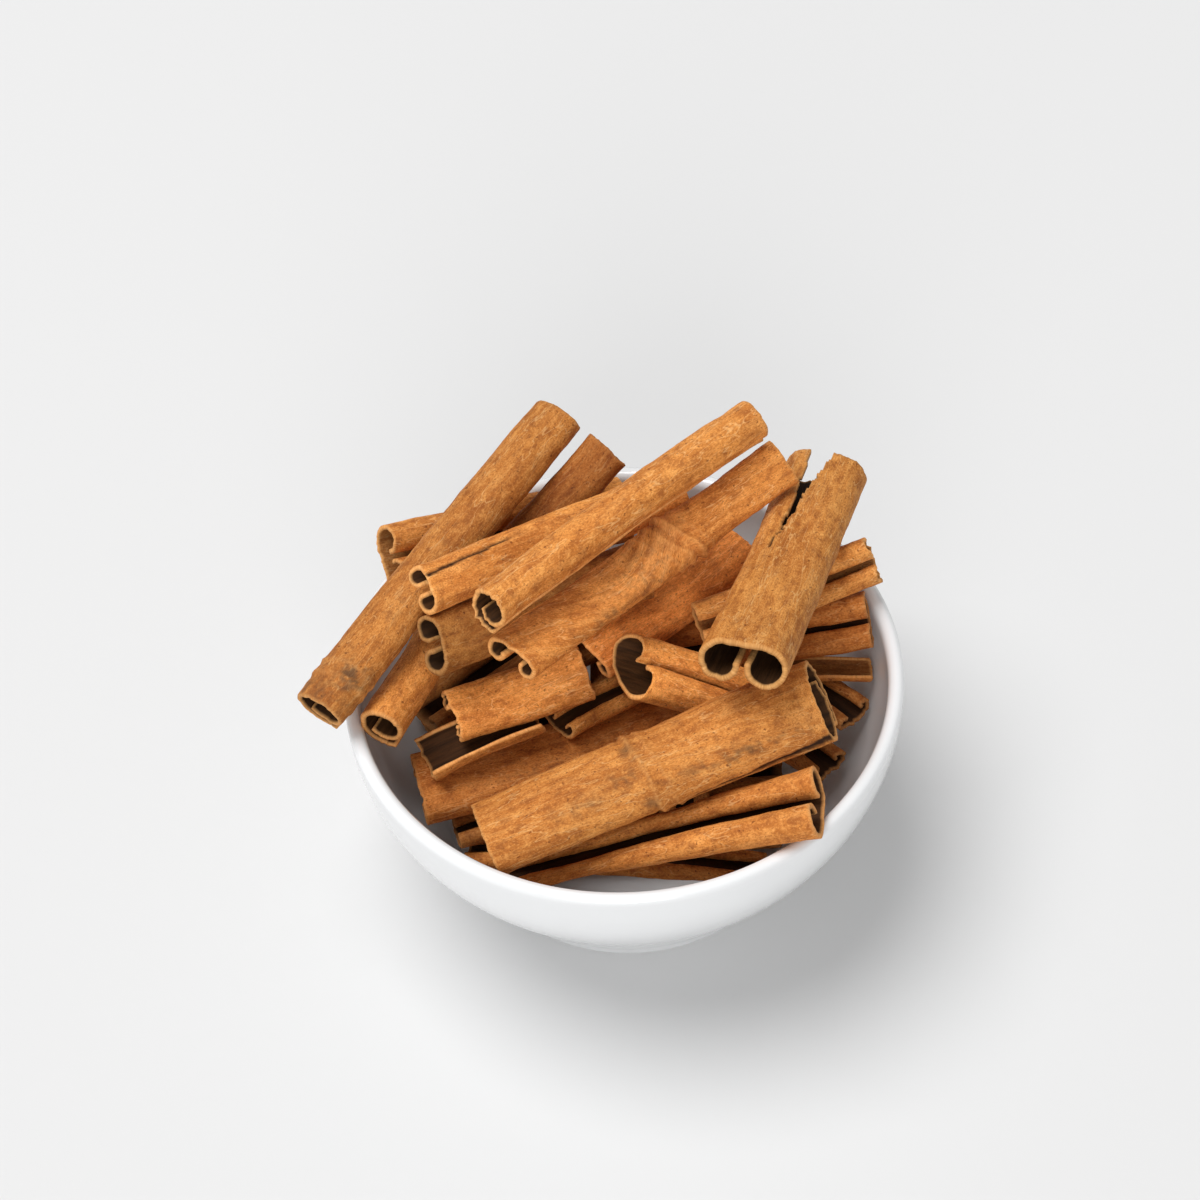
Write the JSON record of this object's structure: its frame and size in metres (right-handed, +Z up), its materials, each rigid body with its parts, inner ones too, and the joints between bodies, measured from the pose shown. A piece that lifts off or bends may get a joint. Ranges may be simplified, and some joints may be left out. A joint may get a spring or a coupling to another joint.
{
  "type": "bowl of cinnamon sticks",
  "caption": "Round white porcelain bowl heaped with loose curled cinnamon sticks, the top ones reaching past the rim.",
  "frame": {"origin": "centre of the bowl's foot, at the height of the table", "axes": "+Z up, +X to the right, -Y towards the front of the heap"},
  "size_m": [0.1238, 0.115, 0.0896],
  "materials": {
    "glaze": "glossy white glazed porcelain",
    "bark": "matte reddish-brown cinnamon bark"
  },
  "bodies": {
    "root": {"bowl": "glaze", "base_front": "bark", "base_middle": "bark", "base_back": "bark", "cross_left": "bark", "cross_middle": "bark", "cross_right": "bark", "back_filler": "bark", "back_filler_high": "bark", "front_low": "bark", "left_low": "bark", "right_deep": "bark", "right_low": "bark", "right_sliver": "bark", "left_large": "bark", "front_quill": "bark", "right_back": "bark", "back_deep": "bark", "middle_small": "bark", "back_broad": "bark", "left_edge": "bark", "left_trough": "bark", "left_split": "bark", "heart": "bark", "back_left": "bark", "left_double": "bark", "right_rim": "bark", "front_large": "bark", "back_red": "bark", "long_left": "bark", "left_upper": "bark", "top_right": "bark", "top_twist": "bark", "top_back": "bark"}
  },
  "joints": []
}
